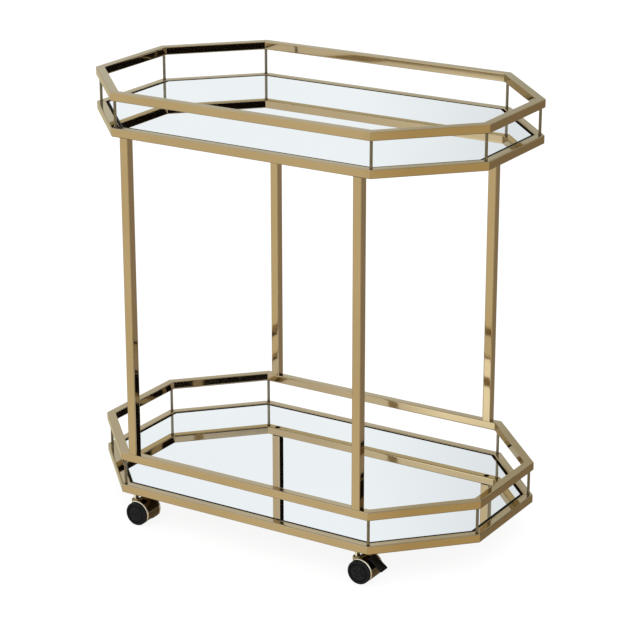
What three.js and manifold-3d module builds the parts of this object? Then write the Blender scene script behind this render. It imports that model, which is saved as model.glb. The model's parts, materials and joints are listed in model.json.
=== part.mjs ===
// Two-tier bar cart on wheels. Each tier is an eight-sided tray: a frame of square tube with a
// mirror let into it, and a gallery rail of the same tube carried above it on eight thin posts.
// Four square legs stand on the lower rail and carry the upper frame, and under each leg is a
// swivelling, hooded caster with two wheels. The casters at the right end have brake pedals.
//
// Millimetres, +Z up, +X to the right along the length, the front facing -Y. The origin is on
// the floor, under the centre of the cart.

import * as THREE from 'three';
import { mergeVertices } from 'three/addons/utils/BufferGeometryUtils.js';
import Module from 'manifold-3d';

const wasm = await Module();
wasm.setup();

// ---- Driving dimensions ----

const LENGTH = 770;            // over the two short sides
const DEPTH = 478;             // over the two long sides
const CORNER_X = 135;          // how much of the length each cut corner takes
const CORNER_Y = 141;          // how much of the depth each cut corner takes
const CASTER_HEIGHT = 49;      // floor to the underside of the lower frame
const TIER_SPACING = 644;      // lower frame to upper frame
const GALLERY_GAP = 46;        // clear height between a frame and its rail

const TUBE = 15;               // square tube of the frames and rails
const WALL = 1.2;              // wall of every tube
const LEG = 16;                // square tube of the legs
const LEG_END = 4;             // plate that closes each end of a leg
const LEG_FROM_CORNER = 24;    // leg centre to the nearest corner of the long side
const POST_DIA = 5;
const POST_SINK = 5;           // how far a post goes into each tube
const POST_HOLE_DIA = 6.6;

const MIRROR_THICK = 4;
const MIRROR_DROP = 1.2;       // mirror face below the top of its frame
const MIRROR_MARGIN = 4.5;     // all round, between the mirror and its frame
const BOARD_THICK = 3;
const LEDGE_WIDTH = 12;
const LEDGE_THICK = 2;

const WHEEL_DIA = 42;
const WHEEL_WIDTH = 14.5;
const CASTER_WIDTH = 49;       // over the outer faces of the two wheels
const TRAIL = 15;              // stem axis to axle, along X
const HOOD_R = 23.1;
const HOOD_WALL = 1.4;
const HOOD_WIDTH = 39;
const HOOD_FROM = -25;         // degrees above the level of the axle, behind it
const HOOD_TO = 115;           // the same, just past the top, towards the stem
const WEB_WIDTH = 17;          // the solid middle of the hood, between the wheels
const KNUCKLE_R = 7.5;         // of the web, where it passes below the axle
const BOSS_R = 8;
const BOSS_FOOT = 1;           // above the level of the axle
const BOSS_HEAD = 18;          // the same
const STEM_R = 4.25;
const STEM_FOOT = 4.5;         // above the level of the axle
const AXLE_R = 2.5;
const AXLE_LENGTH = 42;        // it ends inside the blind hubs of the wheels

const BOLT_R = 3;              // the leg bolts, and the thread of each stem
const BOLT_HEAD_R = 4.8;
const BOLT_HEAD_HEIGHT = 4;
const BOLT_REACH = 12;         // how far a leg bolt stands up out of the rail
const NUT_FLATS = 11;
const NUT_HEIGHT = 8;

// The brake pedals, about the axle: x away from the stem, z up.
const PEDAL_TOP = { x: 12.5, z: 24.7 };
const PEDAL_TIP = { x: 38, z: 5.9 };
const PEDAL_WIDTH = 20;
const PEDAL_THICK = 3.2;
const PIVOT = { x: 4, z: 12 };
const PIVOT_R = 2;
const PIVOT_LENGTH = 14;
const ARM_HUB_R = 3.2;
const ARM_WIDTH = 8;
const ARM_PLAY = 0.4;          // at each side of the arm, in the hood

const GAP = 0.3;               // kept between pieces that touch or run in each other
const CUT_OVER = 1;            // how far a cut runs past the face it opens
const ROUND = 16;              // sides of a round piece
const POST_SIDES = 12;
const WHEEL_SIDES = 24;
const ARC_STEPS = 12;

// ---- Worked out from them ----

const TRAY_HEIGHT = TUBE + GALLERY_GAP + TUBE;
const LEG_X = LENGTH / 2 - CORNER_X - LEG_FROM_CORNER;
const LEG_Y = DEPTH / 2 - LEG / 2;
const LEG_FOOT = CASTER_HEIGHT + TRAY_HEIGHT;
const UPPER_FLOOR = CASTER_HEIGHT + TIER_SPACING;
const AXLE_Z = WHEEL_DIA / 2;

const radians = THREE.MathUtils.degToRad;

// ---- Colours and finishes ----

const gold = () => new THREE.MeshStandardMaterial({ color: 0xbba379, roughness: 0.18, metalness: 1 });
const mirror = () => new THREE.MeshStandardMaterial({ color: 0xe4ebf0, roughness: 0.03, metalness: 1 });
const board = () => new THREE.MeshStandardMaterial({ color: 0x4a3a2c, roughness: 0.85, metalness: 0 });
const steel = () => new THREE.MeshStandardMaterial({ color: 0xa9acae, roughness: 0.35, metalness: 1 });
const black = () => new THREE.MeshStandardMaterial({ color: 0x141416, roughness: 0.4, metalness: 0 });

// ---- Shaping helpers ----

// A closed geometry as a solid that can be joined and cut.
function solid(geometry) {
  geometry.deleteAttribute('normal');
  geometry.deleteAttribute('uv');
  const merged = mergeVertices(geometry, 1e-4);
  return new wasm.Manifold(new wasm.Mesh({
    numProp: 3,
    vertProperties: new Float32Array(merged.attributes.position.array),
    triVerts: new Uint32Array(merged.index.array),
  }));
}

// The geometry of a finished solid.
function geometryOf(body) {
  const result = body.getMesh();
  const geometry = new THREE.BufferGeometry();
  geometry.setAttribute('position', new THREE.BufferAttribute(result.vertProperties, 3));
  geometry.setIndex(new THREE.BufferAttribute(result.triVerts, 1));
  return geometry;
}

// An upright prism from `bottom` to `top` on a plan, with an opening if one is given.
function prism(plan, bottom, top, opening) {
  const shape = new THREE.Shape(plan);
  if (opening) shape.holes.push(new THREE.Path(opening));
  const geometry = new THREE.ExtrudeGeometry(shape, { depth: top - bottom, bevelEnabled: false });
  return solid(geometry.translate(0, 0, bottom));
}

// An upright round bar, at (x, y), from `bottom` to `top`.
function bar(radius, x, y, bottom, top, sides = ROUND) {
  const geometry = new THREE.CylinderGeometry(radius, radius, top - bottom, sides);
  geometry.rotateX(Math.PI / 2);
  return solid(geometry.translate(x, y, (bottom + top) / 2));
}

// A round bar along Y, `width` long and centred on Y = 0, at (x, z).
function crossBar(radius, x, z, width, sides = ROUND) {
  const geometry = new THREE.CylinderGeometry(radius, radius, width, sides);
  return solid(geometry.translate(x, 0, z));
}

// A profile drawn in X and Z, carried along Y for `width` and centred on Y = 0. The quarter turn
// about X takes the drawing's second axis to +Z, so profiles are drawn as they stand.
function slab(profile, width) {
  const settings = { depth: width, bevelEnabled: false, curveSegments: ARC_STEPS };
  const geometry = new THREE.ExtrudeGeometry(profile, settings);
  geometry.translate(0, 0, -width / 2);
  return solid(geometry.rotateX(Math.PI / 2));
}

function outline(points) {
  return points.map(([first, second]) => new THREE.Vector2(first, second));
}

function square(size) {
  const half = size / 2;
  return outline([[-half, -half], [half, -half], [half, half], [-half, half]]);
}

// The eight corners of the tray's plan, moved inwards by `inset` all round.
function octagon(inset) {
  const halfLength = LENGTH / 2 - inset;
  const halfDepth = DEPTH / 2 - inset;
  const slant = Math.hypot(CORNER_X, CORNER_Y);
  const reach = CORNER_Y * (LENGTH / 2 - CORNER_X) + CORNER_X * DEPTH / 2 - inset * slant;
  const longSide = (reach - CORNER_X * halfDepth) / CORNER_Y;
  const shortSide = (reach - CORNER_Y * halfLength) / CORNER_X;
  return outline([
    [longSide, -halfDepth], [halfLength, -shortSide], [halfLength, shortSide], [longSide, halfDepth],
    [-longSide, halfDepth], [-halfLength, shortSide], [-halfLength, -shortSide], [-longSide, -halfDepth],
  ]);
}

const group = new THREE.Group();

function add(name, body, material, x = 0, y = 0) {
  const mesh = new THREE.Mesh(geometryOf(body), material);
  mesh.name = name;
  mesh.position.set(x, y, 0);
  group.add(mesh);
}

// ---- Corners and legs, which several pieces share ----

const postPlaces = octagon(TUBE / 2);

const legs = [
  { name: 'front_left', x: -LEG_X, y: -LEG_Y, brake: false },
  { name: 'front_right', x: LEG_X, y: -LEG_Y, brake: true },
  { name: 'rear_left', x: -LEG_X, y: LEG_Y, brake: false },
  { name: 'rear_right', x: LEG_X, y: LEG_Y, brake: true },
];

// ---- Trays ----

// A ring of square tube, hollow all the way round, with its underside at `floor`.
function tubeRing(floor) {
  const outside = prism(octagon(0), floor, floor + TUBE, octagon(TUBE));
  const inside = prism(octagon(WALL), floor + WALL, floor + TUBE - WALL, octagon(TUBE - WALL));
  return outside.subtract(inside);
}

// Holes through one wall of a ring, whose nearest faces are at `bottom` and `bottom + WALL`.
function drill(ring, places, radius, bottom) {
  let drilled = ring;
  for (const place of places) {
    const bit = bar(radius, place.x, place.y, bottom - CUT_OVER, bottom + WALL + CUT_OVER, POST_SIDES);
    drilled = drilled.subtract(bit);
  }
  return drilled;
}

// The frame has a ledge round its inside, on which the backing board and the mirror lie.
function trayFrame(floor) {
  const ledgeTop = floor + TUBE - MIRROR_DROP - MIRROR_THICK - BOARD_THICK - 2 * GAP;
  const ledgeFloor = ledgeTop - LEDGE_THICK;
  const ledge = prism(octagon(TUBE - WALL / 2), ledgeFloor, ledgeTop, octagon(TUBE + LEDGE_WIDTH));
  return drill(tubeRing(floor).add(ledge), postPlaces, POST_HOLE_DIA / 2, floor + TUBE - WALL);
}

function trayRail(floor) {
  return drill(tubeRing(floor), postPlaces, POST_HOLE_DIA / 2, floor);
}

function addTray(tier, floor, frame, rail) {
  add(`${tier}_frame`, frame, gold());
  add(`${tier}_rail`, rail, gold());

  const panel = octagon(TUBE + MIRROR_MARGIN);
  const mirrorTop = floor + TUBE - MIRROR_DROP;
  const boardTop = mirrorTop - MIRROR_THICK - GAP;
  add(`${tier}_mirror`, prism(panel, mirrorTop - MIRROR_THICK, mirrorTop), mirror());
  add(`${tier}_backing_board`, prism(panel, boardTop - BOARD_THICK, boardTop), board());

  const postFoot = floor + TUBE - POST_SINK;
  const postHead = floor + TUBE + GALLERY_GAP + POST_SINK;
  postPlaces.forEach((place, index) => {
    const post = bar(POST_DIA / 2, 0, 0, postFoot, postHead, POST_SIDES);
    add(`${tier}_post_${index + 1}`, post, gold(), place.x, place.y);
  });
}

// The lower frame takes the caster stems in its underside.
const lowerFrame = drill(trayFrame(CASTER_HEIGHT), legs, BOLT_R + GAP, CASTER_HEIGHT);

// The lower rail takes the leg bolts: a wide hole below lets each head in, a small one above.
const lowerRailFloor = LEG_FOOT - TUBE;
const withHeadHoles = drill(trayRail(lowerRailFloor), legs, BOLT_HEAD_R + GAP, lowerRailFloor);
const lowerRail = drill(withHeadHoles, legs, BOLT_R + GAP, LEG_FOOT - WALL);

addTray('lower', CASTER_HEIGHT, lowerFrame, lowerRail);
addTray('upper', UPPER_FLOOR, trayFrame(UPPER_FLOOR), trayRail(UPPER_FLOOR + TUBE + GALLERY_GAP));

// ---- Legs and their bolts ----

// A square tube closed by a plate at each end. The lower plate is drilled for the leg bolt.
function legTube() {
  const foot = LEG_FOOT + GAP;
  const head = UPPER_FLOOR - GAP;
  const outside = prism(square(LEG), foot, head);
  const inside = prism(square(LEG - 2 * WALL), foot + LEG_END, head - LEG_END);
  const hole = bar(BOLT_R + GAP, 0, 0, foot - CUT_OVER, foot + LEG_END + CUT_OVER);
  return outside.subtract(inside).subtract(hole);
}

function legBolt() {
  const headTop = LEG_FOOT - WALL - GAP;
  const head = bar(BOLT_HEAD_R, 0, 0, headTop - BOLT_HEAD_HEIGHT, headTop);
  return head.add(bar(BOLT_R, 0, 0, headTop - BOLT_HEAD_HEIGHT / 2, LEG_FOOT + BOLT_REACH));
}

for (const leg of legs) {
  add(`leg_${leg.name}`, legTube(), gold(), leg.x, leg.y);
  add(`leg_bolt_${leg.name}`, legBolt(), steel(), leg.x, leg.y);
}

// ---- Casters, each drawn about its stem axis, with the axle TRAIL behind it ----

// A hexagonal nut inside the lower frame, two of its flats along the tube.
function stemNut() {
  const bottom = CASTER_HEIGHT + WALL + GAP;
  const top = bottom + NUT_HEIGHT;
  const corner = NUT_FLATS / Math.sqrt(3);
  const geometry = new THREE.CylinderGeometry(corner, corner, NUT_HEIGHT, 6);
  geometry.rotateY(Math.PI / 6).rotateX(Math.PI / 2);
  const hexagon = solid(geometry.translate(0, 0, (bottom + top) / 2));
  return hexagon.subtract(bar(BOLT_R + GAP, 0, 0, bottom - CUT_OVER, top + CUT_OVER));
}

// The pin that the hood turns on, with its thread reaching up inside the frame.
function stem() {
  const shoulder = CASTER_HEIGHT - GAP;
  const threadTop = CASTER_HEIGHT + TUBE - 2 * WALL;
  const thread = bar(BOLT_R, 0, 0, shoulder - CUT_OVER, threadTop);
  return bar(STEM_R, 0, 0, AXLE_Z + STEM_FOOT, shoulder).add(thread);
}

// The profiles below are drawn about the axle: X backwards, away from the stem, and Z up.

function shellProfile() {
  const profile = new THREE.Shape();
  profile.absarc(0, 0, HOOD_R, radians(HOOD_FROM), radians(HOOD_TO), false);
  profile.absarc(0, 0, HOOD_R - HOOD_WALL, radians(HOOD_TO), radians(HOOD_FROM), true);
  profile.closePath();
  return profile;
}

function webProfile() {
  const profile = new THREE.Shape();
  profile.absarc(0, 0, HOOD_R - HOOD_WALL / 2, radians(HOOD_FROM), radians(HOOD_TO), false);
  profile.lineTo(-TRAIL, BOSS_HEAD);
  profile.lineTo(-TRAIL, BOSS_FOOT + 2);
  profile.absarc(0, 0, KNUCKLE_R, radians(215), radians(300), false);
  profile.closePath();
  return profile;
}

// Where the pedal's arm comes out of the hood, with room for it to swing down.
function armSlot() {
  return new THREE.Shape(outline([[-1, 8], [-1, 19], [7, 26], [23, 21], [16, 8]]));
}

function hood(brake) {
  let body = slab(shellProfile(), HOOD_WIDTH).add(slab(webProfile(), WEB_WIDTH));
  body = body.add(bar(BOSS_R, -TRAIL, 0, BOSS_FOOT, BOSS_HEAD));
  body = body.subtract(bar(STEM_R + GAP, -TRAIL, 0, STEM_FOOT - GAP, HOOD_R + CUT_OVER));
  body = body.subtract(crossBar(AXLE_R + GAP, 0, 0, CASTER_WIDTH));
  if (brake) {
    body = body.subtract(slab(armSlot(), ARM_WIDTH + 2 * ARM_PLAY));
    body = body.subtract(crossBar(PIVOT_R + GAP, PIVOT.x, PIVOT.z, PIVOT_LENGTH + 2 * GAP));
  }
  return body.translate([TRAIL, 0, AXLE_Z]);
}

function axle() {
  return crossBar(AXLE_R, TRAIL, AXLE_Z, AXLE_LENGTH);
}

// A wheel turned about its axle: a blind hub, a web set in from the inner side, a tread with
// rounded shoulders, and a raised ring round the outer face. The outer face looks to -Y when
// `side` is -1 and to +Y when it is 1.
function wheel(side) {
  const tread = WHEEL_DIA / 2;
  const outer = WHEEL_WIDTH;
  const bore = AXLE_R + GAP;
  const profile = outline([
    [0, outer - 2.9], [bore, outer - 2.9], [bore, 0], [6, 0], [6, outer - 4], [16.5, outer - 4], [16.5, 0.6],
    [tread - 0.8, 0], [tread, 1], [tread, outer - 4], [tread - 0.7, outer - 1.8], [tread - 2.4, outer - 0.4],
    [tread - 4, outer], [tread - 5, outer - 0.7], [0, outer - 0.7],
  ]);
  const geometry = new THREE.LatheGeometry(profile, WHEEL_SIDES);
  if (side < 0) geometry.rotateX(Math.PI);
  return solid(geometry.translate(TRAIL, side * (CASTER_WIDTH / 2 - WHEEL_WIDTH), AXLE_Z));
}

// The pedal: a plate sloping down behind the hood, on an arm that turns on two stub pins.
function pedal() {
  const top = new THREE.Vector2(PEDAL_TOP.x, PEDAL_TOP.z);
  const tip = new THREE.Vector2(PEDAL_TIP.x, PEDAL_TIP.z);
  const down = tip.clone().sub(top).normalize().rotateAround(new THREE.Vector2(), -Math.PI / 2);
  const under = down.multiplyScalar(PEDAL_THICK);
  const plate = new THREE.Shape([top, top.clone().add(under), tip.clone().add(under), tip]);
  const arm = new THREE.Shape(outline([[1.5, 14], [11, 23], [18, 18], [6.6, 10]]));
  let body = slab(plate, PEDAL_WIDTH).add(slab(arm, ARM_WIDTH));
  body = body.add(crossBar(ARM_HUB_R, PIVOT.x, PIVOT.z, ARM_WIDTH));
  body = body.add(crossBar(PIVOT_R, PIVOT.x, PIVOT.z, PIVOT_LENGTH));
  return body.translate([TRAIL, 0, AXLE_Z]);
}

for (const leg of legs) {
  add(`caster_nut_${leg.name}`, stemNut(), steel(), leg.x, leg.y);
  add(`caster_stem_${leg.name}`, stem(), gold(), leg.x, leg.y);
  add(`caster_hood_${leg.name}`, hood(leg.brake), gold(), leg.x, leg.y);
  add(`caster_axle_${leg.name}`, axle(), steel(), leg.x, leg.y);
  add(`caster_wheel_${leg.name}_1`, wheel(-1), black(), leg.x, leg.y);
  add(`caster_wheel_${leg.name}_2`, wheel(1), black(), leg.x, leg.y);
  if (leg.brake) add(`brake_pedal_${leg.name}`, pedal(), black(), leg.x, leg.y);
}

export default group;
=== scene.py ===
"""The looks of a two-tier bar cart on wheels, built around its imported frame.

Metres, +Z up, +X along the length towards the end with the brake pedals, the front facing -Y.
Places and main sizes come from the boxes of the CAD nodes, and details are sizes named below.
"""

import json
import math

import bmesh
import bpy
from mathutils import Matrix, Vector

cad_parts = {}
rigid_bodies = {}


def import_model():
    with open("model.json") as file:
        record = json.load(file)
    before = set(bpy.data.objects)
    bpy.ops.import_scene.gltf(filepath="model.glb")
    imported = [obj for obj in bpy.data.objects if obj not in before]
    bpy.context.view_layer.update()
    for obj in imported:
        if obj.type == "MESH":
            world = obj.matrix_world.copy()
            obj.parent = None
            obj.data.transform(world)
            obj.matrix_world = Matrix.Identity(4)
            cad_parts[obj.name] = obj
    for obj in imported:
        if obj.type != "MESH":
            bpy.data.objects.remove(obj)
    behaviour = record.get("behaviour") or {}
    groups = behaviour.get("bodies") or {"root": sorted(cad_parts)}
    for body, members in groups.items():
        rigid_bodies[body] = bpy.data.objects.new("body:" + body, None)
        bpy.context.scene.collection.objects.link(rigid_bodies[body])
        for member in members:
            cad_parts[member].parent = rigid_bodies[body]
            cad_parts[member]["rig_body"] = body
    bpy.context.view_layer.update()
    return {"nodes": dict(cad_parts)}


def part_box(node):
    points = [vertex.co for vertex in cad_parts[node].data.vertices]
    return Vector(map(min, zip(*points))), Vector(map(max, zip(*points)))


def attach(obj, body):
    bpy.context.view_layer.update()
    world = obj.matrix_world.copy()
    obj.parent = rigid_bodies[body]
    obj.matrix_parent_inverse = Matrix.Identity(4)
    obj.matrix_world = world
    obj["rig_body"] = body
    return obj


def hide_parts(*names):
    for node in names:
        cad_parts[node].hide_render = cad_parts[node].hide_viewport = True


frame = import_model()

MM = 0.001


# ---- Places and sizes, read from the frame ----

def middle(node):
    """The middle of a CAD node's box."""
    low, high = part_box(node)
    return (low + high) / 2


def extent(node):
    """The size of a CAD node's box."""
    low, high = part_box(node)
    return high - low


def top_of(node):
    """The highest height in a CAD node's box."""
    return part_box(node)[1].z


def bottom_of(node):
    """The lowest height in a CAD node's box."""
    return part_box(node)[0].z


LEGS = ["front_left", "front_right", "rear_left", "rear_right"]
BRAKED = ["front_right", "rear_right"]
POSTS = range(1, 9)

TUBE = extent("lower_rail").z
POST_PLACES = [middle(f"lower_post_{number}").xy for number in POSTS]
POST_RADIUS = extent("lower_post_1").x / 2
LEG_WIDTH = extent("leg_front_left").x
PAST_RIGHT_LEGS = middle("leg_front_right").x + LEG_WIDTH / 2
AXLE_HEIGHT = middle("caster_axle_front_left").z
WHEEL_RADIUS = extent("caster_wheel_front_left_1").z / 2
WHEEL_WIDTH = extent("caster_wheel_front_left_1").y
CASTER_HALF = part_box("caster_wheel_front_left_2")[1].y - middle("caster_axle_front_left").y
TRAIL = middle("caster_axle_front_left").x - middle("caster_stem_front_left").x
HOOD_RADIUS = top_of("caster_hood_front_left") - AXLE_HEIGHT
HOOD_WIDTH = extent("caster_hood_front_left").y
STEM_RADIUS = extent("caster_stem_front_left").x / 2
AXLE_RADIUS = extent("caster_axle_front_left").x / 2

# ---- Detail sizes that the frame doesn't give ----

WALL = 1.2 * MM                 # of every tube
TUBE_ROUND = 1.5 * MM           # outer corners of the square tube
MITRE_ROUND = 0.9 * MM          # vertical edge where two lengths of tube meet
MITRE_GROOVE = 0.14 * MM        # depth of the fine line left at each mitre
GUARD = 1.2 * MM                # from a rounded edge to the points that keep its faces flat
LEDGE_WIDTH = 12 * MM
LEDGE_THICK = 2 * MM
POST_HOLE = 3.3 * MM            # radius
BOLT_HOLE = 3.3 * MM            # radius
BOLT_HEAD_HOLE = 5.1 * MM       # radius
BOLT_HEAD_HEIGHT = 4 * MM
LEG_PLATE = 4 * MM              # closes each end of a leg
MIRROR_ARRIS = 0.8 * MM         # ground edge of the mirror glass
THREAD_RADIUS = 3 * MM          # of the caster stems
THREAD_PITCH = 1 * MM
THREAD_DEPTH = 0.45 * MM
CLEAR = 0.3 * MM                # between pieces that turn in or lie on each other

# The casters, about the axle: X backwards, away from the stem, and Z up.
HOOD_FROM = math.radians(-25)   # the hood starts below the level of the axle, behind it,
HOOD_TO = math.radians(115)     # and ends just past its top, towards the stem
HOOD_WALL = 1.4 * MM
RIM_HALF_HEIGHT = 0.98 * MM     # of the hood's rolled rims, which are oval
RIM_HALF_WIDTH = 1.7 * MM
WEB_WIDTH = 17 * MM             # the solid middle of the hood, between the wheels
KNUCKLE_RADIUS = 7.5 * MM       # of the web, where it passes below the axle
BOSS_RADIUS = 8 * MM
BOSS_FOOT = 1 * MM
BOSS_HEAD = 18 * MM

# The brake pedal, about the axle too.
PIVOT = Vector((4, 0, 12)) * MM
PIN_RADIUS = 2 * MM             # of the stub pins that it tips on
PIN_LENGTH = 14 * MM            # over both of them
HUB_RADIUS = 3.2 * MM
PEDAL_TOP = Vector((12.5, 24.7)) * MM
PEDAL_TIP = Vector((38, 5.9)) * MM
PEDAL_THICK = 3.2 * MM
ARM_OUTLINE = [Vector((1.5, 14)) * MM, Vector((6.6, 10)) * MM, Vector((18, 18)) * MM,
               Vector((11, 23)) * MM]
ARM_WIDTH = 8 * MM
ARM_PLAY = 0.4 * MM             # at each side of the arm, in the hood
ARM_SLOT = [Vector((-1, 8)) * MM, Vector((16, 8)) * MM, Vector((23, 21)) * MM, Vector((7, 26)) * MM,
            Vector((-1, 19)) * MM]
RIB_RADIUS = 0.9 * MM           # of the grip ribs across the pedal
RIB_SPACING = 3 * MM
RIBS = 5

FINE = 96                       # sides of a large round piece
SMALL = 40                      # sides of a small round piece
WELD = 1e-7                     # metres; a cut's points nearer to each other than this become one


# ---- Outlines ----

def offset_outline(corners, outward):
    """A closed outline's corners, anticlockwise, moved outwards with mitred corners."""
    shifted = []
    for index, corner in enumerate(corners):
        arriving = (corner - corners[index - 1]).normalized()
        leaving = (corners[(index + 1) % len(corners)] - corner).normalized()
        before = Vector((arriving.y, -arriving.x))
        after = Vector((leaving.y, -leaving.x))
        shifted.append(corner + (before + after) * outward / (1 + before.dot(after)))
    return shifted


def rounded(corners, radius, steps, guard=0):
    """A closed outline with each corner turned into an arc of `steps` steps. With a `guard`, a
    point that far along the straight on each side of the arc keeps the flat face flat."""
    points = []
    for index, corner in enumerate(corners):
        arriving = (corner - corners[index - 1]).normalized()
        leaving = (corners[(index + 1) % len(corners)] - corner).normalized()
        turn = math.atan2(arriving.x * leaving.y - arriving.y * leaving.x, arriving.dot(leaving))
        side = math.copysign(1, turn)
        start = corner - arriving * radius * math.tan(abs(turn) / 2)
        centre = start + Vector((-arriving.y, arriving.x)) * radius * side
        spoke = start - centre
        if guard:
            points.append(start - arriving * guard)
        for step in range(steps + 1):
            points.append(centre + Matrix.Rotation(turn * step / steps, 2) @ spoke)
        if guard:
            points.append(points[-1] + leaving * guard)
    return points


def arc(centre, radius, start, end, steps):
    """Points on an arc, from `start` to `end`, which are angles in degrees."""
    points = []
    for step in range(steps + 1):
        angle = math.radians(start + (end - start) * step / steps)
        points.append(Vector(centre) + Vector((math.cos(angle), math.sin(angle))) * radius)
    return points


def rectangle(low_x, low_y, high_x, high_y):
    """Four corners, anticlockwise."""
    return [Vector((low_x, low_y)), Vector((high_x, low_y)),
            Vector((high_x, high_y)), Vector((low_x, high_y))]


def tray_outline(inset):
    """The eight corners of the tray's plan, moved in from its outer faces."""
    return offset_outline(POST_PLACES, TUBE / 2 - inset)


# ---- Meshes ----

def skin(rows, wrap_rows=False):
    """A bmesh over rows of points. Each row closes on itself. The last row joins the first if
    `wrap_rows`, and otherwise both are filled."""
    bm = bmesh.new()
    grid = [[bm.verts.new(point) for point in row] for row in rows]
    count = len(grid)
    for index in range(count if wrap_rows else count - 1):
        here, there = grid[index], grid[(index + 1) % count]
        for step in range(len(here)):
            after = (step + 1) % len(here)
            bm.faces.new((here[step], here[after], there[after], there[step]))
    if not wrap_rows:
        bm.faces.new(list(reversed(grid[0])))
        bm.faces.new(grid[-1])
    return outward_facing(bm)


def outward_facing(bm):
    """Turns the faces of a closed body outwards."""
    bmesh.ops.recalc_face_normals(bm, faces=bm.faces)
    if bm.calc_volume(signed=True) < 0:
        bmesh.ops.reverse_faces(bm, faces=bm.faces)
    return bm


def upright(outline, levels):
    """A prism through (height, inset) levels, each an inset copy of the outline."""
    rows = []
    for height, inset in levels:
        rows.append([(p.x, p.y, height) for p in offset_outline(outline, -inset)])
    return skin(rows)


def turned(profile, sides=FINE):
    """A body of revolution about Z, from (radius, height) points that start and end on the axis."""
    bm = bmesh.new()
    grid = []
    for radius, height in profile[1:-1]:
        ring = []
        for side in range(sides):
            angle = math.tau * side / sides
            ring.append(bm.verts.new((radius * math.cos(angle), radius * math.sin(angle), height)))
        grid.append(ring)
    for here, there in zip(grid, grid[1:]):
        for side in range(sides):
            after = (side + 1) % sides
            bm.faces.new((here[side], here[after], there[after], there[side]))
    for ring, height in ((grid[0], profile[0][1]), (grid[-1], profile[-1][1])):
        pole = bm.verts.new((0, 0, height))
        for side in range(sides):
            bm.faces.new((ring[side], ring[(side + 1) % sides], pole))
    return outward_facing(bm)


def rod(radius, low, high):
    """A plain round bar about Z, for holes and pins."""
    return turned([(0, low), (radius, low), (radius, high), (0, high)], SMALL)


def across(profile, width, edge):
    """A plate whose outline is drawn in X and Z, `width` along Y, with its rims rounded off."""
    rows = []
    steps = 4
    for side in (-1, 1):
        for step in range(steps + 1):
            angle = math.pi / 2 * (step if side < 0 else steps - step) / steps
            inset = edge * (1 - math.sin(angle))
            y = side * (width / 2 - edge * (1 - math.cos(angle)))
            rows.append([(p.x, y, p.y) for p in offset_outline(profile, -inset)])
    return skin(rows)


def along_y(bm):
    """Turns a body made about Z so that its axis lies along Y."""
    return rotated(bm, -math.pi / 2, "X")


def rotated(bm, angle, axis):
    """Turns a body about an axis through the origin."""
    bmesh.ops.rotate(bm, verts=bm.verts, cent=(0, 0, 0), matrix=Matrix.Rotation(angle, 3, axis))
    return bm


def moved(bm, place):
    """Moves a body by `place`."""
    bmesh.ops.translate(bm, verts=bm.verts, vec=place)
    return bm


def merged(*parts):
    """Several bmeshes in one, left as they are."""
    first = parts[0]
    for part in parts[1:]:
        holder = bpy.data.meshes.new("holder")
        part.to_mesh(holder)
        part.free()
        first.from_mesh(holder)
        bpy.data.meshes.remove(holder)
    return first


def combined(body, tool, operation):
    """`body` joined with or cut by `tool`; both are used up."""
    objects = []
    for name, part in (("body", body), ("tool", tool)):
        holder = bpy.data.meshes.new(name)
        part.to_mesh(holder)
        part.free()
        item = bpy.data.objects.new(name, holder)
        bpy.context.scene.collection.objects.link(item)
        objects.append(item)
    modifier = objects[0].modifiers.new("cut", "BOOLEAN")
    modifier.operation = operation
    modifier.solver = "EXACT"
    modifier.object = objects[1]
    graph = bpy.context.evaluated_depsgraph_get()
    result = bmesh.new()
    result.from_mesh(objects[0].evaluated_get(graph).data)
    for item in objects:
        holder = item.data
        bpy.data.objects.remove(item)
        bpy.data.meshes.remove(holder)
    bmesh.ops.remove_doubles(result, verts=result.verts, dist=WELD)
    return result


def add_piece(name, bm, materials, node, sharp=32):
    """Adds a finished mesh that stands for a CAD node and rides on that node's body. Its edges
    are drawn sharp where its faces turn by more than `sharp` degrees."""
    mesh = bpy.data.meshes.new(name)
    bm.to_mesh(mesh)
    bm.free()
    for material in materials:
        mesh.materials.append(material)
    mesh.shade_smooth()
    mesh.set_sharp_from_angle(angle=math.radians(sharp))
    piece = bpy.data.objects.new(name, mesh)
    bpy.context.scene.collection.objects.link(piece)
    weights = piece.modifiers.new("flat_faces", "WEIGHTED_NORMAL")
    weights.keep_sharp = True
    weights.weight = 100
    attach(piece, frame["nodes"][node]["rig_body"])
    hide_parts(node)


# ---- Materials ----

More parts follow.
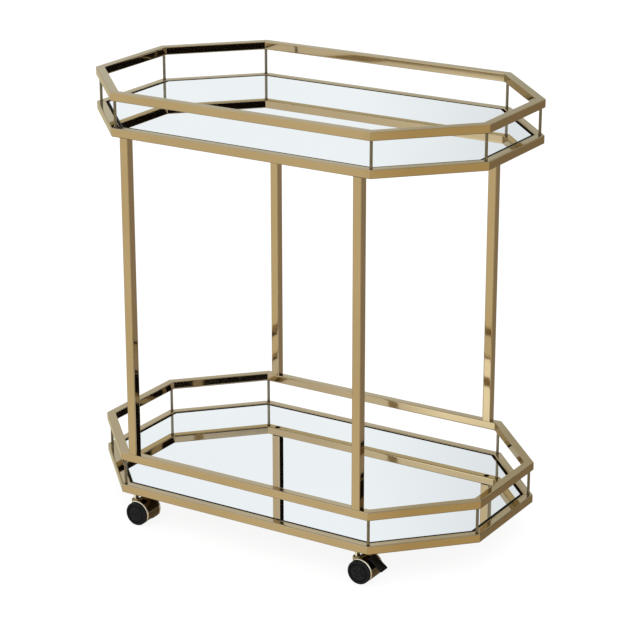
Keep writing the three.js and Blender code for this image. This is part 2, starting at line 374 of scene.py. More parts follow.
class Nodes:
    """Adds nodes one by one to the tree of a material or a world. A value that a node takes is a
    number, a colour or another node's output."""

    FIRST_COLOUR, SECOND_COLOUR, COLOUR = 6, 7, 2    # the colour sockets of a Mix node

    def __init__(self, tree):
        self.tree = tree

    def node(self, kind, **settings):
        """A new node, with its settings made."""
        made = self.tree.nodes.new(kind)
        for name, value in settings.items():
            setattr(made, name, value)
        return made

    def feed(self, socket, value):
        """Gives a socket its value."""
        if isinstance(value, tuple):
            socket.default_value = (*value, 1)
        elif isinstance(value, (int, float)):
            socket.default_value = value
        else:
            self.tree.links.new(value, socket)

    def math(self, operation, *values):
        """The result of one step of arithmetic."""
        made = self.node("ShaderNodeMath", operation=operation)
        for index, value in enumerate(values):
            self.feed(made.inputs[index], value)
        return made.outputs["Value"]

    def range(self, source, low, high, to_low=0, to_high=1, interpolation="LINEAR"):
        """Takes `low` to `to_low` and `high` to `to_high`, and holds those values outside them."""
        made = self.node("ShaderNodeMapRange", interpolation_type=interpolation)
        self.feed(made.inputs["Value"], source)
        self.feed(made.inputs["From Min"], low)
        self.feed(made.inputs["From Max"], high)
        self.feed(made.inputs["To Min"], to_low)
        self.feed(made.inputs["To Max"], to_high)
        return made.outputs["Result"]

    def blend(self, factor, first, second):
        """The first colour where the factor is 0, the second where it is 1."""
        made = self.node("ShaderNodeMix", data_type="RGBA")
        self.feed(made.inputs["Factor"], factor)
        self.feed(made.inputs[self.FIRST_COLOUR], first)
        self.feed(made.inputs[self.SECOND_COLOUR], second)
        return made.outputs[self.COLOUR]


class Finish(Nodes):
    """A material whose nodes lead to a Principled shader."""

    def __init__(self, name):
        self.material = bpy.data.materials.new(name)
        self.material.use_nodes = True
        super().__init__(self.material.node_tree)
        self.shader = self.tree.nodes["Principled BSDF"]
        self.place = self.node("ShaderNodeTexCoord").outputs["Object"]

    def set(self, **values):
        """Sets constants on the shader. An underscore stands for a space in a socket's name."""
        for name, value in values.items():
            self.shader.inputs[name.replace("_", " ")].default_value = value

    def link(self, output, socket):
        """Lets an output drive one of the shader's sockets."""
        self.tree.links.new(output, self.shader.inputs[socket])

    def noise(self, scale, detail=2.0, roughness=0.5, stretch=(1, 1, 1)):
        """Noise through the object, `scale` per metre, stretched along chosen axes."""
        mapping = self.node("ShaderNodeMapping")
        mapping.inputs["Scale"].default_value = stretch
        self.feed(mapping.inputs["Vector"], self.place)
        made = self.node("ShaderNodeTexNoise")
        self.feed(made.inputs["Vector"], mapping.outputs["Vector"])
        self.feed(made.inputs["Scale"], scale)
        self.feed(made.inputs["Detail"], detail)
        self.feed(made.inputs["Roughness"], roughness)
        return made.outputs["Fac"]

    def along(self, start, end):
        """0 at `start` and 1 at `end`, which are places along X."""
        split = self.node("ShaderNodeSeparateXYZ")
        self.feed(split.inputs["Vector"], self.place)
        return self.range(split.outputs["X"], start, end)

    def edges(self, low, high):
        """1 on rounded outer edges, 0 on flat faces."""
        geometry = self.node("ShaderNodeNewGeometry")
        return self.range(geometry.outputs["Pointiness"], low, high)

    def bump(self, *layers):
        """Relief from (height output, depth in metres) layers, laid one over another."""
        normal = None
        for height, depth in layers:
            made = self.node("ShaderNodeBump")
            self.feed(made.inputs["Distance"], depth)
            self.feed(made.inputs["Strength"], 1)
            self.feed(made.inputs["Height"], height)
            if normal is not None:
                self.feed(made.inputs["Normal"], normal)
            normal = made.outputs["Normal"]
        self.link(normal, "Normal")


def plated_gold(name, pale, deep, edge, edge_wear_and_highlight, roughness, right_end_painted_shade=None):
    """Polished gold plating: its tone drifts slowly between `pale` and `deep`, with a faint
    buffing haze and lighter edges of the tone `edge`, which are wear and a painted highlight.
    Past the right legs it can pass into the tone `right_end_painted_shade`, a painted shade."""
    finish = Finish(name)
    drift = finish.range(finish.noise(4, 3), 0.35, 0.65)
    plating = finish.blend(drift, deep, pale)
    if right_end_painted_shade is not None:
        # Painted shade: past the right legs the plating passes into a darker tone, for the dimmer light
        # on that end.
        into_painted_shade = finish.along(PAST_RIGHT_LEGS, PAST_RIGHT_LEGS + 60 * MM)
        plating = finish.blend(into_painted_shade, plating, right_end_painted_shade)
    # Lighter rounded edges: wear, and a painted highlight as well, which shows most on the near black
    # hood copy.
    rubbing = finish.range(finish.noise(160, 4, 0.6), 0.35, 0.6, edge_wear_and_highlight / 3, edge_wear_and_highlight)
    worn_and_highlit = finish.math("MULTIPLY", finish.edges(0.515, 0.56), rubbing)
    finish.link(finish.blend(worn_and_highlit, plating, edge), "Base Color")
    smudges = finish.range(finish.noise(16, 6, 0.62), 0.5, 0.8, 0, 0.03)
    haze = finish.range(finish.noise(420, 3), 0.3, 0.7, roughness - 0.006, roughness + 0.006)
    finish.link(finish.math("ADD", haze, smudges), "Roughness")
    finish.bump((finish.noise(40, 2), 3e-6), (finish.noise(1500, 2), 2e-7))
    finish.set(Metallic=1, Specular_Tint=(0.8, 0.79, 0.7, 1))
    return finish.material


def mirror_silver():
    """The silvered face seen through clear glass: almost perfect, with a faint haze of wiping."""
    finish = Finish("mirror_silver")
    drift = finish.range(finish.noise(5, 2), 0.3, 0.7)
    finish.link(finish.blend(drift, (0.925, 0.942, 0.952), (0.945, 0.958, 0.967)), "Base Color")
    wiping = finish.noise(30, 5, 0.6, (1, 0.35, 1))
    finish.link(finish.range(wiping, 0.45, 0.8, 0.006, 0.018), "Roughness")
    finish.bump((finish.noise(9, 1), 6e-6))
    finish.set(Metallic=1)
    return finish.material


def glass_edge_painted_shade():
    """The ground edge of the mirror glass, frosted by the grinding wheel: a near black green that is
    painted shade, standing for the shaded gap round the mirror.
    """
    finish = Finish("glass_edge_painted_shade")
    grind = finish.noise(900, 4, 0.6, (1, 1, 0.2))
    # Painted shade: the edge is kept near black so that it reads as the shaded gap round the mirror.
    finish.link(finish.blend(grind, (0.008, 0.013, 0.011), (0.02, 0.03, 0.026)), "Base Color")
    finish.link(finish.range(grind, 0.3, 0.7, 0.3, 0.45), "Roughness")
    finish.bump((grind, 1.5e-5))
    finish.set(Specular_IOR_Level=0.1)
    return finish.material


def hardboard():
    """Pressed brown fibreboard behind the mirror, with long fibres and a rough weave."""
    finish = Finish("hardboard")
    fibres = finish.noise(220, 8, 0.7, (0.35, 1, 1))
    patches = finish.range(finish.noise(14, 3), 0.4, 0.7, 0, 0.35)
    brown = finish.blend(fibres, (0.03, 0.019, 0.012), (0.085, 0.056, 0.036))
    finish.link(finish.blend(patches, brown, (0.06, 0.046, 0.035)), "Base Color")
    finish.link(finish.range(fibres, 0.3, 0.7, 0.72, 0.92), "Roughness")
    finish.bump((fibres, 1.2e-4), (finish.noise(1400, 3), 3e-5))
    return finish.material


def zinc_steel():
    """Bright zinc-plated fasteners: cool grey with a faint straw passivation and turning marks."""
    finish = Finish("zinc_steel")
    passivation = finish.range(finish.noise(180, 3), 0.4, 0.7, 0, 0.6)
    finish.link(finish.blend(passivation, (0.6, 0.62, 0.64), (0.66, 0.62, 0.5)), "Base Color")
    marks = finish.noise(2400, 2, 0.5, (1, 1, 0.15))
    finish.link(finish.range(marks, 0.3, 0.7, 0.22, 0.38), "Roughness")
    finish.bump((marks, 4e-6))
    finish.set(Metallic=1)
    return finish.material


def black_nylon():
    """Moulded black nylon of the wheels: fine grain, and grey scuffs where edges roll and rub."""
    finish = Finish("black_nylon")
    scuffs = finish.range(finish.noise(260, 6, 0.65), 0.4, 0.7, 0.25, 1)
    rubbed = finish.math("MULTIPLY", finish.edges(0.503, 0.53), scuffs)
    mottle = finish.noise(90, 4)
    body = finish.blend(mottle, (0.002, 0.002, 0.0035), (0.0045, 0.0045, 0.0075))
    finish.link(finish.blend(rubbed, body, (0.045, 0.044, 0.043)), "Base Color")
    finish.link(finish.range(mottle, 0.3, 0.7, 0.27, 0.4), "Roughness")
    finish.bump((finish.noise(3200, 2), 1.2e-5), (finish.noise(120, 2), 2e-5))
    finish.set(Specular_IOR_Level=0.05)
    return finish.material


def black_gloss():
    """The brake pedal's glossy black plastic, with moulding ripple and fine scratches."""
    finish = Finish("black_gloss")
    scratches = finish.range(finish.noise(700, 3, 0.6, (1, 0.12, 1)), 0.56, 0.7)
    black = finish.blend(scratches, (0.003, 0.003, 0.0035), (0.012, 0.012, 0.013))
    finish.link(black, "Base Color")
    finish.link(finish.range(scratches, 0, 1, 0.09, 0.3), "Roughness")
    finish.bump((finish.noise(140, 2), 1.6e-5), (scratches, 3e-6))
    finish.set(Specular_IOR_Level=0.1, Coat_Weight=0.03, Coat_Roughness=0.06)
    return finish.material


# The frame, rails and legs; past the right legs their plating takes a painted shade.
GOLD = plated_gold("gold_plating", pale=(0.49, 0.39, 0.253), deep=(0.45, 0.355, 0.226),
                   edge=(0.6, 0.52, 0.4), edge_wear_and_highlight=0.6, roughness=0.045, right_end_painted_shade=(0.4, 0.3, 0.165))
# A darker copy of the plating for the posts: painted shade.
GOLD_POST_PAINTED_SHADE = plated_gold("gold_plating_post_painted_shade", pale=(0.187, 0.17, 0.126), deep=(0.153, 0.139, 0.102),
                        edge=(0.3, 0.265, 0.2), edge_wear_and_highlight=0.6, roughness=0.09)
# A near black copy of the plating for the hoods: painted shade, with bright edges that are a painted
# highlight.
GOLD_HOOD_PAINTED_SHADE = plated_gold("gold_plating_hood_painted_shade", pale=(0.13, 0.095, 0.05), deep=(0.1, 0.07, 0.035),
                        edge=(0.8, 0.72, 0.55), edge_wear_and_highlight=0.8, roughness=0.05)
# A bright, pale copy of the plating for the hood rims and the stems: a painted highlight.
GOLD_PAINTED_HIGHLIGHT = plated_gold("gold_plating_painted_highlight", pale=(0.93, 0.88, 0.77), deep=(0.88, 0.82, 0.68),
                       edge=(0.96, 0.93, 0.86), edge_wear_and_highlight=1, roughness=0.08)
SILVER = mirror_silver()
GLASS_EDGE_PAINTED_SHADE = glass_edge_painted_shade()
HARDBOARD = hardboard()
ZINC = zinc_steel()
NYLON = black_nylon()
PEDAL_BLACK = black_gloss()


# ---- Trays ----

def swept_ring(section, floor, groove):
    """A section, (inset from the outer face, height), carried round the tray's eight sides.
    Each mitre is a small arc, and its middle line is let in by `groove`."""
    steps = 6
    points_per_corner = steps + 3
    groove_point = 1 + steps // 2
    let_in = offset_outline(section, -groove)
    rows = []
    for point, low_point in zip(section, let_in):
        outline = rounded(tray_outline(point.x), MITRE_ROUND, steps, GUARD)
        low_outline = rounded(tray_outline(low_point.x), MITRE_ROUND, steps, GUARD)
        row = []
        for index, place in enumerate(outline):
            if index % points_per_corner == groove_point:
                low_place = low_outline[index]
                row.append((low_place.x, low_place.y, floor + low_point.y))
            else:
                row.append((place.x, place.y, floor + point.y))
        rows.append(row)
    return skin(rows, wrap_rows=True)


def tube_ring(floor, ledge_top=None):
    """The hollow ring of square tube, with a ledge on its inner side if `ledge_top` is given."""
    square = rectangle(0, 0, TUBE, TUBE)
    section = rounded(square, TUBE_ROUND, 5, GUARD)
    bore = rounded(offset_outline(square, -WALL), TUBE_ROUND / 3, 2)
    outer = swept_ring(section, floor, MITRE_GROOVE)
    if ledge_top is not None:
        top = ledge_top - floor
        ledge = rectangle(TUBE - WALL / 2, top - LEDGE_THICK, TUBE + LEDGE_WIDTH, top)
        outer = combined(outer, swept_ring(rounded(ledge, 0.5 * MM, 2), floor, 0), "UNION")
    return combined(outer, swept_ring(bore, floor, 0), "DIFFERENCE")


def drilled(ring, places, radius, bottom, from_above=True):
    """Holes through one wall, `bottom` to `bottom + WALL`, each with a broken edge on the side
    that it was drilled from."""
    broken = 0.3 * MM
    over = 0.6 * MM
    if from_above:
        face = bottom + WALL
        profile = [(0, bottom - over), (radius, bottom - over), (radius, face - broken),
                   (radius + broken, face), (radius + broken, face + over), (0, face + over)]
    else:
        profile = [(0, bottom - over), (radius + broken, bottom - over), (radius + broken, bottom),
                   (radius, bottom + broken), (radius, bottom + WALL + over),
                   (0, bottom + WALL + over)]
    bits = [moved(turned(profile, SMALL), (place.x, place.y, 0)) for place in places]
    return combined(ring, merged(*bits), "DIFFERENCE")


def mirror_panel(tier):
    """Glass with a ground arris all round: silver on its flat faces, and at its edge glass darkened by
    painted shade.
    """
    node = f"{tier}_mirror"
    low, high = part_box(node)
    inset = (extent(f"{tier}_frame").x - extent(node).x) / 2
    outline = rounded(tray_outline(inset), 1.5 * MM, 5)
    levels = [(low.z, MIRROR_ARRIS / 2), (low.z + MIRROR_ARRIS / 2, 0),
              (high.z - MIRROR_ARRIS, 0), (high.z - MIRROR_ARRIS / 3, MIRROR_ARRIS * 0.75),
              (high.z, MIRROR_ARRIS * 1.6)]
    bm = upright(outline, levels)
    for face in bm.faces:
        face.material_index = 0 if face.normal.z > 0.99 else 1
    add_piece(f"{tier}_mirror_glass", bm, [SILVER, GLASS_EDGE_PAINTED_SHADE], node, 15)


def backing_board(tier):
    """The board behind the mirror, with its edges softened."""
    node = f"{tier}_backing_board"
    low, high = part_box(node)
    inset = (extent(f"{tier}_frame").x - extent(node).x) / 2
    outline = rounded(tray_outline(inset), 2 * MM, 4)
    soft = 0.4 * MM
    bm = upright(outline, [(low.z, soft), (low.z + soft, 0), (high.z - soft, 0), (high.z, soft)])
    add_piece(f"{tier}_back_panel", bm, [HARDBOARD], node)


def post(tier, number):
    """A thin round post with its ends broken, standing in the holes of the frame and the rail."""
    node = f"{tier}_post_{number}"
    low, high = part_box(node)
    broken = 0.4 * MM
    profile = [(0, low.z), (POST_RADIUS - broken, low.z), (POST_RADIUS, low.z + broken),
               (POST_RADIUS, high.z - broken), (POST_RADIUS - broken, high.z), (0, high.z)]
    place = middle(node)
    bm = moved(turned(profile, SMALL), (place.x, place.y, 0))
    # The posts take the darker copy of the gold plating: painted shade.
    add_piece(f"{tier}_gallery_post_{number}", bm, [GOLD_POST_PAINTED_SHADE], node)


def tray(tier):
    """A frame with its ledge, the rail above it, the mirror, its board, and the posts between.
    The lower one is also drilled for the leg bolts and the caster stems."""
    frame_floor = bottom_of(f"{tier}_frame")
    ledge_top = bottom_of(f"{tier}_backing_board") - CLEAR
    ring = drilled(tube_ring(frame_floor, ledge_top), POST_PLACES, POST_HOLE, frame_floor + TUBE - WALL)
    leg_places = [middle(f"leg_{leg}").xy for leg in LEGS]
    if tier == "lower":
        ring = drilled(ring, leg_places, BOLT_HOLE, frame_floor, from_above=False)
    add_piece(f"{tier}_tray_frame", ring, [GOLD], f"{tier}_frame")

    rail_floor = bottom_of(f"{tier}_rail")
    rail = drilled(tube_ring(rail_floor), POST_PLACES, POST_HOLE, rail_floor, from_above=False)
    if tier == "lower":
        rail = drilled(rail, leg_places, BOLT_HEAD_HOLE, rail_floor, from_above=False)
        rail = drilled(rail, leg_places, BOLT_HOLE, rail_floor + TUBE - WALL)
    add_piece(f"{tier}_gallery_rail", rail, [GOLD], f"{tier}_rail")

    mirror_panel(tier)
    backing_board(tier)
    for number in POSTS:
        post(tier, number)


# ---- Legs and their bolts ----

def leg_tube(leg):
    """A square tube with rounded edges, closed by a plate at each end."""
    node = f"leg_{leg}"
    low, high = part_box(node)
    seat = 0.25 * MM            # closes up the gap that the CAD keeps at each end
    broken = 0.35 * MM
    square = rectangle(low.x, low.y, high.x, high.y)
    outline = rounded(square, TUBE_ROUND, 5, GUARD)
    foot, head = low.z - seat, high.z + seat
    bm = upright(outline, [(foot, broken), (foot + broken, 0), (foot + broken + GUARD, 0),
                           (head - broken - GUARD, 0), (head - broken, 0), (head, broken)])
    bore = rounded(offset_outline(square, -WALL), TUBE_ROUND / 3, 2)
    hollow = upright(bore, [(low.z + LEG_PLATE, 0), (high.z - LEG_PLATE, 0)])
    bm = combined(bm, hollow, "DIFFERENCE")
    place = middle(node)
    hole = rod(BOLT_HOLE, low.z - MM, low.z + LEG_PLATE + MM)
    bm = combined(bm, moved(hole, (place.x, place.y, 0)), "DIFFERENCE")
    add_piece(f"square_leg_{leg}", bm, [GOLD], node)


def leg_bolt(leg):
    """A cap screw: a domed head with a hexagon socket, and a threaded shank."""
    node = f"leg_bolt_{leg}"
    low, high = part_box(node)
    head_radius = extent(node).x / 2
    shank_radius = head_radius * 0.62
    head_top = low.z + BOLT_HEAD_HEIGHT
    profile = [(0, low.z), (head_radius * 0.8, low.z), (head_radius * 0.94, low.z + 0.35 * MM),
               (head_radius, low.z + 1.1 * MM), (head_radius, head_top)]
    profile += thread(shank_radius, head_top, high.z)
    profile.append((0, high.z))
    socket_half = 2.1 * MM
    socket_end = low.z + 2.4 * MM
    socket = upright(rounded(hexagon(socket_half), 0.2 * MM, 2), [(low.z - MM, 0), (socket_end, 0)])
    body = combined(turned(profile, SMALL), socket, "DIFFERENCE")
    place = middle(node)
    add_piece(f"cap_screw_{leg}", moved(body, (place.x, place.y, 0)), [ZINC], node)


def hexagon(across_half):
    """Six corners, anticlockwise, whose flats are `across_half` from the middle, two along X."""
    reach = across_half / math.cos(math.pi / 6)
    corners = []
    for side in range(6):
        angle = math.radians(60 * side)
        corners.append(Vector((reach * math.cos(angle), reach * math.sin(angle))))
    return corners


def thread(radius, low, high):
    """Profile points of a threaded length: a fine ridge every pitch, and a lead-in at the top."""
    root = radius - THREAD_DEPTH
    points = [(root, low)]
    for turn in range(int((high - low) / THREAD_PITCH) - 1):
        foot = low + THREAD_PITCH * (turn + 0.3)
        points += [(radius, foot + 0.2 * THREAD_PITCH), (root, foot + 0.7 * THREAD_PITCH)]
    points.append((root, high))
    return points


# ---- Casters ----

def axle_place(leg):
    """The middle of a caster's axle, which its moving pieces are made about."""
    return middle(f"caster_axle_{leg}")


def hood_shell():
    """The curved cover over the wheels, about the axle: an arched plate with rolled rims. Its
    section, (across, out from the axle), is carried round the arch, and two more rows past each
    end round it off."""
    outer = HOOD_RADIUS - 0.35 * MM
    inner = outer - HOOD_WALL + 0.2 * MM
    rim_middle = HOOD_WIDTH / 2 - RIM_HALF_WIDTH
    flat = rim_middle - RIM_HALF_WIDTH
    open_half = 130                 # degrees each way that a rim stands out of the plate
    section = [Vector((flat, inner))]
    for side, facing in ((1, 0), (-1, 180)):
        for spot in arc((0, 0), 1, facing - open_half, facing + open_half, 16):
            section.append(Vector((side * rim_middle + spot.x * RIM_HALF_WIDTH,
                                   HOOD_RADIUS - RIM_HALF_HEIGHT + spot.y * RIM_HALF_HEIGHT)))
        if side > 0:
            section += [Vector((flat, outer)), Vector((-flat, outer))]
        else:
            section.append(Vector((-flat, inner)))
    steps = 56
    end_round = 0.5 * MM
    shrinks = (0, 0.3 * end_round, end_round)
    reaches = (0, 0.7 * end_round, end_round)
    rows = []
    for step in range(-2, steps + 3):
        share = min(max(step / steps, 0), 1)
        beyond = max(-step, step - steps, 0)
        shrink = shrinks[beyond]
        angle = HOOD_FROM + (HOOD_TO - HOOD_FROM) * share
        angle += math.copysign(reaches[beyond] / HOOD_RADIUS, step - steps / 2)
        row = []
        for point in offset_outline(section, -shrink):
            row.append((math.cos(angle) * point.y, point.x, math.sin(angle) * point.y))
        rows.append(row)
    return skin(rows)


def hood_web():
    """The solid middle between the wheels, about the axle."""
    from_degrees, to_degrees = math.degrees(HOOD_FROM), math.degrees(HOOD_TO)
    outline = arc((0, 0), HOOD_RADIUS - HOOD_WALL, from_degrees, to_degrees, 32)
    outline += [Vector((-TRAIL, BOSS_HEAD)), Vector((-TRAIL, BOSS_FOOT + 2 * MM))]
    outline += arc((0, 0), KNUCKLE_RADIUS, 215, 300, 10)
    return across(outline, WEB_WIDTH, 0.8 * MM)


def hood(leg):
    """The caster's body: cover, web and the boss that takes the stem. In a braked one, a slot
    and a cross hole take the pedal's arm and its pins."""
    node = f"caster_hood_{leg}"
    stem_place = (-TRAIL, 0, 0)
    soft = 0.9 * MM
    boss = [(0, BOSS_FOOT), (BOSS_RADIUS - soft, BOSS_FOOT), (BOSS_RADIUS, BOSS_FOOT + soft)]
    boss += [(BOSS_RADIUS, BOSS_HEAD - soft), (BOSS_RADIUS - 0.3 * soft, BOSS_HEAD - 0.3 * soft)]
    boss += [(BOSS_RADIUS - soft, BOSS_HEAD), (0, BOSS_HEAD)]
    body = combined(hood_shell(), hood_web(), "UNION")
    body = combined(body, moved(turned(boss, SMALL), stem_place), "UNION")
    bore_low = bottom_of(f"caster_stem_{leg}") - AXLE_HEIGHT - CLEAR
    bore = rod(STEM_RADIUS + CLEAR, bore_low, 30 * MM)
    body = combined(body, moved(bore, stem_place), "DIFFERENCE")
    axle_hole = rod(AXLE_RADIUS + CLEAR, -HOOD_WIDTH, HOOD_WIDTH)
    body = combined(body, along_y(axle_hole), "DIFFERENCE")
    if leg in BRAKED:
        slot = across(ARM_SLOT, ARM_WIDTH + 2 * ARM_PLAY, 0.4 * MM)
        body = combined(body, slot, "DIFFERENCE")
        half = PIN_LENGTH / 2 + CLEAR
        pin_hole = along_y(rod(PIN_RADIUS + CLEAR, -half, half))
        body = combined(body, moved(pin_hole, PIVOT), "DIFFERENCE")
    # The rolled rims get material 1, the bright copy of the gold: a painted highlight.
    for face in body.faces:
        centre = face.calc_center_median()
        beyond = math.hypot(centre.x, centre.z) > HOOD_RADIUS - 2.2 * RIM_HALF_HEIGHT
        on_rim = abs(centre.y) > HOOD_WIDTH / 2 - 2 * RIM_HALF_WIDTH
        face.material_index = 1 if beyond and on_rim else 0
    body = moved(body, axle_place(leg))
    # The hood takes the near black copy of the gold, a painted shade; its rims take the bright copy, a
    # painted highlight.
    add_piece(f"hood_{leg}", body, [GOLD_HOOD_PAINTED_SHADE, GOLD_PAINTED_HIGHLIGHT], node)


def wheel(leg, side_number):
    """A moulded wheel, turned about its axle. Its profile is (radius, out from the inner side),
    in millimetres: a blind hub, a hollow inner side, a rounded tread with a fine parting line,
    and an outer face with a raised ring and a shallow centre disc."""
    side = -1 if side_number == 1 else 1
    outer = WHEEL_WIDTH / MM
    tread = WHEEL_RADIUS / MM
    bore = (AXLE_RADIUS + CLEAR) / MM
    blind = outer - 2.9
    web = outer - 4
    parting = outer * 0.42
    inner_round = 1.3
    outer_round = 3.4
    profile = [(0, blind), (bore, blind), (bore, 0.4), (bore + 0.4, 0), (5.6, 0), (6, 0.4)]
    profile += [(6.2, web - 0.4), (6.8, web), (15.9, web), (16.4, web - 0.5), (16.6, 1), (17.2, 0.3)]
    profile.append((tread - inner_round - 0.1, 0))
    profile += arc((tread - inner_round, inner_round), inner_round, -80, 0, 5)
    profile += [(tread, parting - 0.25), (tread + 0.05, parting), (tread, parting + 0.25)]
    profile += arc((tread - outer_round, outer - outer_round - 0.2), outer_round, 0, 84, 9)
    profile += [(17.2, outer), (16.9, outer - 0.05), (16.3, outer - 0.6), (15.6, outer - 0.95)]
    profile += [(14.6, outer - 0.95), (14.1, outer - 0.75), (13.4, outer - 0.6), (8, outer - 0.35)]
    profile += [(7.4, outer - 0.42), (7, outer - 0.75), (6.5, outer - 0.75), (6.1, outer - 0.4)]
    profile += [(3, outer - 0.22), (0, outer - 0.15)]
    bm = along_y(turned([(radius * MM, out * MM) for radius, out in profile]))
    if side < 0:
        rotated(bm, math.pi, "X")
    place = axle_place(leg) + Vector((0, side * (CASTER_HALF - WHEEL_WIDTH), 0))
    node = f"caster_wheel_{leg}_{side_number}"
    add_piece(f"wheel_{leg}_{side_number}", moved(bm, place), [NYLON], node)


def stem(leg):
    """The plated pin that turns in the hood's boss, with its thread up inside the frame."""
    node = f"caster_stem_{leg}"
    low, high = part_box(node)
    shoulder = bottom_of("lower_frame")
    soft = 0.5 * MM
    seat = 0.05 * MM
    profile = [(0, low.z), (STEM_RADIUS - soft, low.z), (STEM_RADIUS, low.z + soft),
               (STEM_RADIUS, shoulder - seat - soft / 2), (STEM_RADIUS - soft / 2, shoulder - seat)]
    profile += thread(THREAD_RADIUS, shoulder - seat, high.z)
    profile.append((0, high.z))
    place = middle(node)
    bm = moved(turned(profile, SMALL), (place.x, place.y, 0))
    # The stem takes the bright copy of the gold: a painted highlight.
    add_piece(f"stem_{leg}", bm, [GOLD_PAINTED_HIGHLIGHT], node)


def stem_nut(leg):
    """A hexagon nut whose corners are chamfered at both ends."""
    node = f"caster_nut_{leg}"
    low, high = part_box(node)
    flats = extent(node).y / 2
    body = upright(rounded(hexagon(flats), 0.3 * MM, 2), [(low.z, 0), (high.z, 0)])
    reach = flats / math.cos(math.pi / 6)
    chamfer = reach - flats
    face = flats * 0.97
    cones = [(0, low.z), (face, low.z), (reach, low.z + chamfer),
             (reach, high.z - chamfer), (face, high.z), (0, high.z)]
    body = combined(body, turned(cones, SMALL), "INTERSECT")
    body = combined(body, rod(BOLT_HOLE, low.z - MM, high.z + MM), "DIFFERENCE")
    place = middle(node)
    add_piece(f"hex_nut_{leg}", moved(body, (place.x, place.y, 0)), [ZINC], node)


def axle(leg):
    """The pin that both wheels roll on, with its ends broken."""
    node = f"caster_axle_{leg}"
    half = extent(node).y / 2
    broken = 0.5 * MM
    profile = [(0, -half), (AXLE_RADIUS - broken, -half), (AXLE_RADIUS, broken - half),
               (AXLE_RADIUS, half - broken), (AXLE_RADIUS - broken, half), (0, half)]
    bm = moved(along_y(turned(profile, SMALL)), axle_place(leg))
    add_piece(f"axle_pin_{leg}", bm, [ZINC], node)


def pedal(leg):
    """The brake pedal: a sloping plate with grip ribs, on an arm that turns on two stub pins."""
    node = f"brake_pedal_{leg}"
    width = extent(node).y
    down = PEDAL_TIP - PEDAL_TOP
    plan = rounded(rectangle(0, -width / 2, down.length, width / 2), 2.2 * MM, 5)
    soft = 0.7 * MM
    under = -PEDAL_THICK
    body = upright(plan, [(under, soft), (under + 0.3 * soft, 0.3 * soft), (under + soft, 0),
                          (-soft, 0), (-0.3 * soft, 0.3 * soft), (0, soft)])
    half = width * 0.36
    end_radius = RIB_RADIUS * 0.6
    end_round = RIB_RADIUS - end_radius
    rib = [(0, -half), (end_radius, -half), (RIB_RADIUS, end_round - half),
           (RIB_RADIUS, half - end_round), (end_radius, half), (0, half)]
    for number in range(RIBS):
        place = (down.length / 2 + number * RIB_SPACING, 0, -0.55 * RIB_RADIUS)
        body = combined(body, moved(along_y(turned(rib, 20)), place), "UNION")
    rotated(body, -math.atan2(down.y, down.x), "Y")
    moved(body, (PEDAL_TOP.x, 0, PEDAL_TOP.y))
    body = combined(body, across(ARM_OUTLINE, ARM_WIDTH, 0.5 * MM), "UNION")
    for radius, length in ((HUB_RADIUS, ARM_WIDTH), (PIN_RADIUS, PIN_LENGTH)):
        turning = along_y(rod(radius, -length / 2, length / 2))
        body = combined(body, moved(turning, PIVOT), "UNION")
    add_piece(f"pedal_{leg}", moved(body, axle_place(leg)), [PEDAL_BLACK], node)


# ---- Studio ----

def camera():
    """A long lens, from the front right and a little above, fitted to the photo."""
    azimuth, elevation = math.radians(31.56), math.radians(19.25)
    distance = 4.019
    target = Vector((0.008, 0.005, 0.344))
    back = Vector((math.sin(azimuth) * math.cos(elevation),
                   -math.cos(azimuth) * math.cos(elevation), math.sin(elevation)))
    data = bpy.data.cameras.new("camera")
    data.lens = 129.4
    item = bpy.data.objects.new("camera", data)
    item.location = target + back * distance
    item.rotation_mode = "QUATERNION"
    item.rotation_quaternion = (-back).to_track_quat("-Z", "Y")
    bpy.context.scene.collection.objects.link(item)
    bpy.context.scene.camera = item


def floor():
    """A pale light table: it glows a little, so that the cart's shadow on it stays faint."""
    half_width = 60                 # metres, far past what any view shows
    bm = bmesh.new()
    bmesh.ops.create_grid(bm, x_segments=1, y_segments=1, size=half_width)
    mesh = bpy.data.meshes.new("floor")
    bm.to_mesh(mesh)
    bm.free()
    finish = Finish("pale_floor")
    tone = finish.noise(0.8, 2)
    finish.link(finish.blend(tone, (0.14, 0.14, 0.14), (0.16, 0.16, 0.16)), "Base Color")
    finish.set(Roughness=0.9, Specular_IOR_Level=0.1)
    finish.set(Emission_Color=(1, 1, 1, 1), Emission_Strength=0.9)
    mesh.materials.append(finish.material)
    item = bpy.data.objects.new("floor", mesh)
    bpy.context.scene.collection.objects.link(item)
    item.visible_glossy = False


# What polished metal reflects, as cards: azimuth, half width, lowest, highest, softness of the
# edges, colour. Azimuth runs from +X towards +Y, all are degrees, and a card hides those before it.
BLACK = (0.008, 0.006, 0.005)
CARDS = [
    (0, 180, -90, -2, 3, (0.2, 0.155, 0.095)),          # dim all round, below the horizon
    (-112, 28, -50, 23, 4, (0.98, 0.9, 0.67)),          # warm wall, front left
    (-112, 28, 4, 23, 4, (0.98, 0.95, 0.86)),           # and its paler top
    (180, 30, -50, 0, 4, (0.58, 0.5, 0.36)),            # left
    (124, 20, -45, -3, 4, (0.8, 0.74, 0.55)),           # left back
    (-30, 22, -45, 0, 4, (0.89, 0.76, 0.485)),          # deep gold, front right
    (8, 15, -45, 0, 4, (0.42, 0.34, 0.22)),             # right
    (58, 28, -45, -2, 4, (0.44, 0.375, 0.305)),         # right back
    (95, 21, 3, 60, 5, (0.76, 0.79, 0.81)),             # a little less light, high at the back
    (-108, 10, 4, 23, 4, (1.13, 1.12, 1)),              # brighter towards the front
    (-108, 10, 16, 21.3, 1.5, (1.7, 1.7, 1.5)),         # a bright window in it
    (-31, 6, 5, 21.55, 0.5, BLACK),                     # flags that darken the inner sides of the
    (57, 5.5, 5, 34, 1, BLACK),                         # left end, and the feet of the left legs
    (52, 3.5, -13.3, 6, 0.8, BLACK),
    (54, 10, -11.2, -7.6, 0.6, (1, 0.95, 0.9)),         # a bright gap in the last flag
]
OVERHEAD = (0.885, 0.917, 0.933)


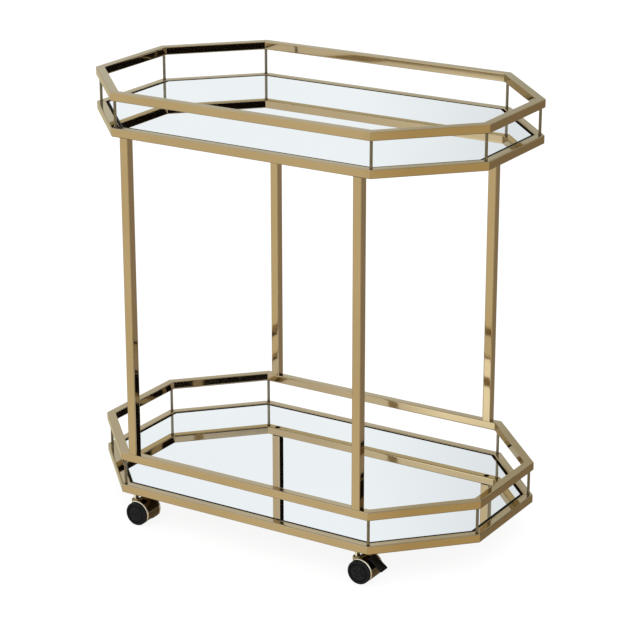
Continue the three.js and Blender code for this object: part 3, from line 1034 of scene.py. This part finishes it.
class Sky(Nodes):
    """The world's nodes: masks over the directions that rays leave in."""

    def __init__(self, tree):
        super().__init__(tree)
        self.tree.nodes.clear()
        place = self.node("ShaderNodeTexCoord").outputs["Generated"]
        split = self.node("ShaderNodeSeparateXYZ")
        self.feed(split.inputs["Vector"], place)
        around = self.math("ARCTAN2", split.outputs["Y"], split.outputs["X"])
        self.azimuth = self.math("DEGREES", around)
        self.elevation = self.math("DEGREES", self.math("ARCSINE", split.outputs["Z"]))

    def fade(self, value, low, high):
        """0 at `low`, passing smoothly to 1 at `high`, whichever of the two is greater."""
        return self.range(value, low, high, interpolation="SMOOTHSTEP")

    def mask(self, azimuth, half, low, high, soft):
        """1 inside a card, fading to 0 over `soft` degrees round it."""
        mask = self.math("MULTIPLY", self.fade(self.elevation, low - soft, low),
                         self.fade(self.elevation, high + soft, high))
        if half < 180:
            turn = self.math("WRAP", self.math("SUBTRACT", self.azimuth, azimuth), 180, -180)
            beside = self.fade(self.math("ABSOLUTE", turn), half + soft, half)
            mask = self.math("MULTIPLY", mask, beside)
        return mask


def studio():
    """A white tent. Polished metal reflects the cards instead, so that its faces tell apart."""
    world = bpy.data.worlds.new("studio")
    bpy.context.scene.world = world
    world.use_nodes = True
    sky = Sky(world.node_tree)
    colour = OVERHEAD
    for azimuth, half, low, high, soft, light in CARDS:
        colour = sky.blend(sky.mask(azimuth, half, low, high, soft), colour, light)
    cards = sky.node("ShaderNodeBackground")
    sky.feed(cards.inputs["Color"], colour)
    tent = sky.node("ShaderNodeBackground")
    sky.feed(tent.inputs["Color"], (1.0, 1.0, 1.0))
    either = sky.node("ShaderNodeMixShader")
    sky.feed(either.inputs["Fac"], sky.node("ShaderNodeLightPath").outputs["Is Glossy Ray"])
    first, second = either.inputs[1:]
    sky.feed(first, tent.outputs["Background"])
    sky.feed(second, cards.outputs["Background"])
    output = sky.node("ShaderNodeOutputWorld")
    sky.feed(output.inputs["Surface"], either.outputs["Shader"])


def lamp():
    """A broad soft light overhead, for faint shadows under the cart."""
    data = bpy.data.lights.new("overhead", "SUN")
    data.energy = 0.5
    data.angle = math.radians(40)
    item = bpy.data.objects.new("overhead", data)
    item.rotation_euler = (math.radians(-14), math.radians(-10), 0)
    item.visible_glossy = False
    bpy.context.scene.collection.objects.link(item)


camera()
floor()
studio()
lamp()
bpy.context.scene.view_settings.view_transform = "Standard"

for tier in ("lower", "upper"):
    tray(tier)
for leg in LEGS:
    leg_tube(leg)
    leg_bolt(leg)
    stem_nut(leg)
    stem(leg)
    hood(leg)
    axle(leg)
    wheel(leg, 1)
    wheel(leg, 2)
    if leg in BRAKED:
        pedal(leg)
